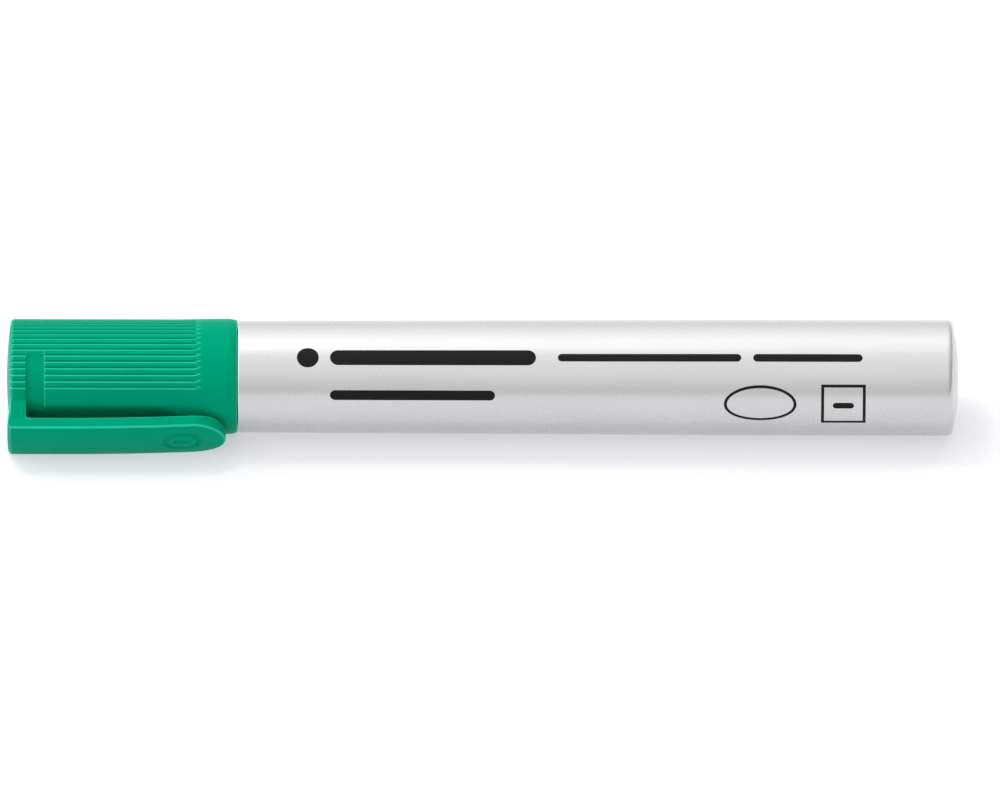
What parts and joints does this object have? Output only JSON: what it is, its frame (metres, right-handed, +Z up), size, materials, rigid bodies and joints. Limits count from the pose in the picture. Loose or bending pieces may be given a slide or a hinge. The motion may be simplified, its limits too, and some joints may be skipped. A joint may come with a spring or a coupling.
{
  "type": "whiteboard marker",
  "caption": "Capped whiteboard marker lying on its side: ribbed green pull-off cap with an integral clip, and a plain satin silver barrel with a domed end.",
  "frame": {"origin": "centre of the marker's footprint, on the surface that it lies on", "axes": "+X along the marker, from the closed end of the cap to the rear face; +Z up; the clip points to -Y and 26 degrees below the horizontal"},
  "size_m": [0.135, 0.0194, 0.0164],
  "materials": {
    "silver_barrel": "satin, silver-pigmented moulded plastic",
    "silver_plug": "satin, silver-pigmented moulded plastic",
    "grey_holder": "fine matte moulded plastic",
    "green_cap": "satin moulded polypropylene",
    "green_clip": "satin moulded polypropylene",
    "natural_liner": "natural uncoloured polyethylene",
    "felt_nib": "pressed fibre, wet with green ink",
    "ink_fibre": "bundled polyester fibre, soaked with green ink",
    "clear_film": "clear wrapping film"
  },
  "bodies": {
    "root": {"barrel": "silver_barrel", "nib_holder": "grey_holder", "chisel_nib": "felt_nib", "reservoir_fibre": "ink_fibre", "reservoir_film": "clear_film", "rear_plug": "silver_plug"},
    "cap": {"cap_shell": "green_cap", "inner_cap": "natural_liner"},
    "clip": {"clip": "green_clip"}
  },
  "joints": [
    {"name": "cap_pull", "type": "slide", "parent": "root", "child": "cap", "axis": [-1, 0, 0], "range_m": [0, 0.04]},
    {"name": "clip_flex", "type": "hinge", "parent": "cap", "child": "clip", "pos_m": [-0.0647, -0.00722, 0.00395], "axis": [0, 0.4386, -0.8987], "range_deg": [0, 5], "stiffness_Nm_per_rad": 0.8}
  ]
}
